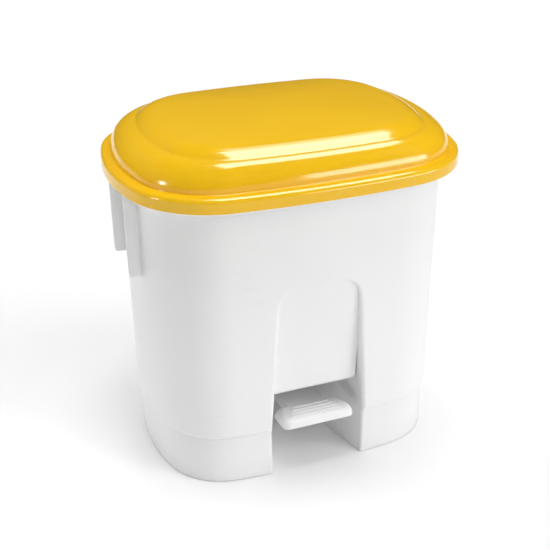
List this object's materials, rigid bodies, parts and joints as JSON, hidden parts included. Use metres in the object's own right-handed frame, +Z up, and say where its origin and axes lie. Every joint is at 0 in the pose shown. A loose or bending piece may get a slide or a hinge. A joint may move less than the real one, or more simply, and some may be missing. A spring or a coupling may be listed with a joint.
{
  "type": "pedal bin",
  "caption": "Oval-ended white plastic pedal bin with a stepped glossy yellow lid, side handle fins and a front pedal that lifts the lid by a lever and rod.",
  "frame": {"origin": "on the floor under the middle of the lid, at the bottom centre of the bounding box", "axes": "+Z up, +X to the right seen from the front, +Y to the back: the pedal faces -Y"},
  "size_m": [0.41, 0.3086, 0.422],
  "materials": {
    "body_plastic": "white moulded polypropylene, satin",
    "lid_plastic": "glossy moulded yellow plastic",
    "pedal_plastic": "white moulded plastic, satin",
    "pad_rubber": "matt dark grey rubber",
    "rod_plastic": "off-white acetal, satin",
    "steel": "zinc-plated steel wire and screws"
  },
  "bodies": {
    "bin": {"axle_clip_left": "steel", "axle_clip_right": "steel", "base_frame": "body_plastic", "base_screw_1": "steel", "base_screw_2": "steel", "base_screw_3": "steel", "base_screw_4": "steel", "bin_body": "body_plastic", "foot_pad_1": "pad_rubber", "foot_pad_2": "pad_rubber", "foot_pad_3": "pad_rubber", "foot_pad_4": "pad_rubber", "guide_screw_1": "steel", "guide_screw_2": "steel", "guide_screw_3": "steel", "guide_screw_4": "steel", "hinge_pin_left": "steel", "hinge_pin_right": "steel", "pedal_axle": "steel", "rod_guide_lower": "rod_plastic", "rod_guide_upper": "rod_plastic"},
    "lid": {"lid": "lid_plastic", "lifter_pin": "steel"},
    "pedal": {"pedal_lever": "pedal_plastic", "pedal_tread": "pedal_plastic", "tread_screw_left": "steel", "tread_screw_right": "steel"},
    "lift_rod": {"push_rod": "steel", "rod_foot": "rod_plastic", "rod_head": "rod_plastic"}
  },
  "joints": [
    {"name": "lid_hinge", "type": "hinge", "parent": "bin", "child": "lid", "pos_m": [0, 0.145, 0.351], "axis": [-1, 0, 0], "range_deg": [0, 75]},
    {"name": "pedal_pivot", "type": "hinge", "parent": "bin", "child": "pedal", "pos_m": [0, 0.03, 0.047], "axis": [1, 0, 0], "range_deg": [0, 16.8]},
    {"name": "rod_slide", "type": "slide", "parent": "bin", "child": "lift_rod", "axis": [0, 0, 1], "range_m": [0, 0.028]}
  ],
  "couplings": [
    {"joint": "pedal_pivot", "follows": "lid_hinge", "ratio": 0.224},
    {"joint": "rod_slide", "follows": "lid_hinge", "m_per_rad": 0.02139}
  ]
}
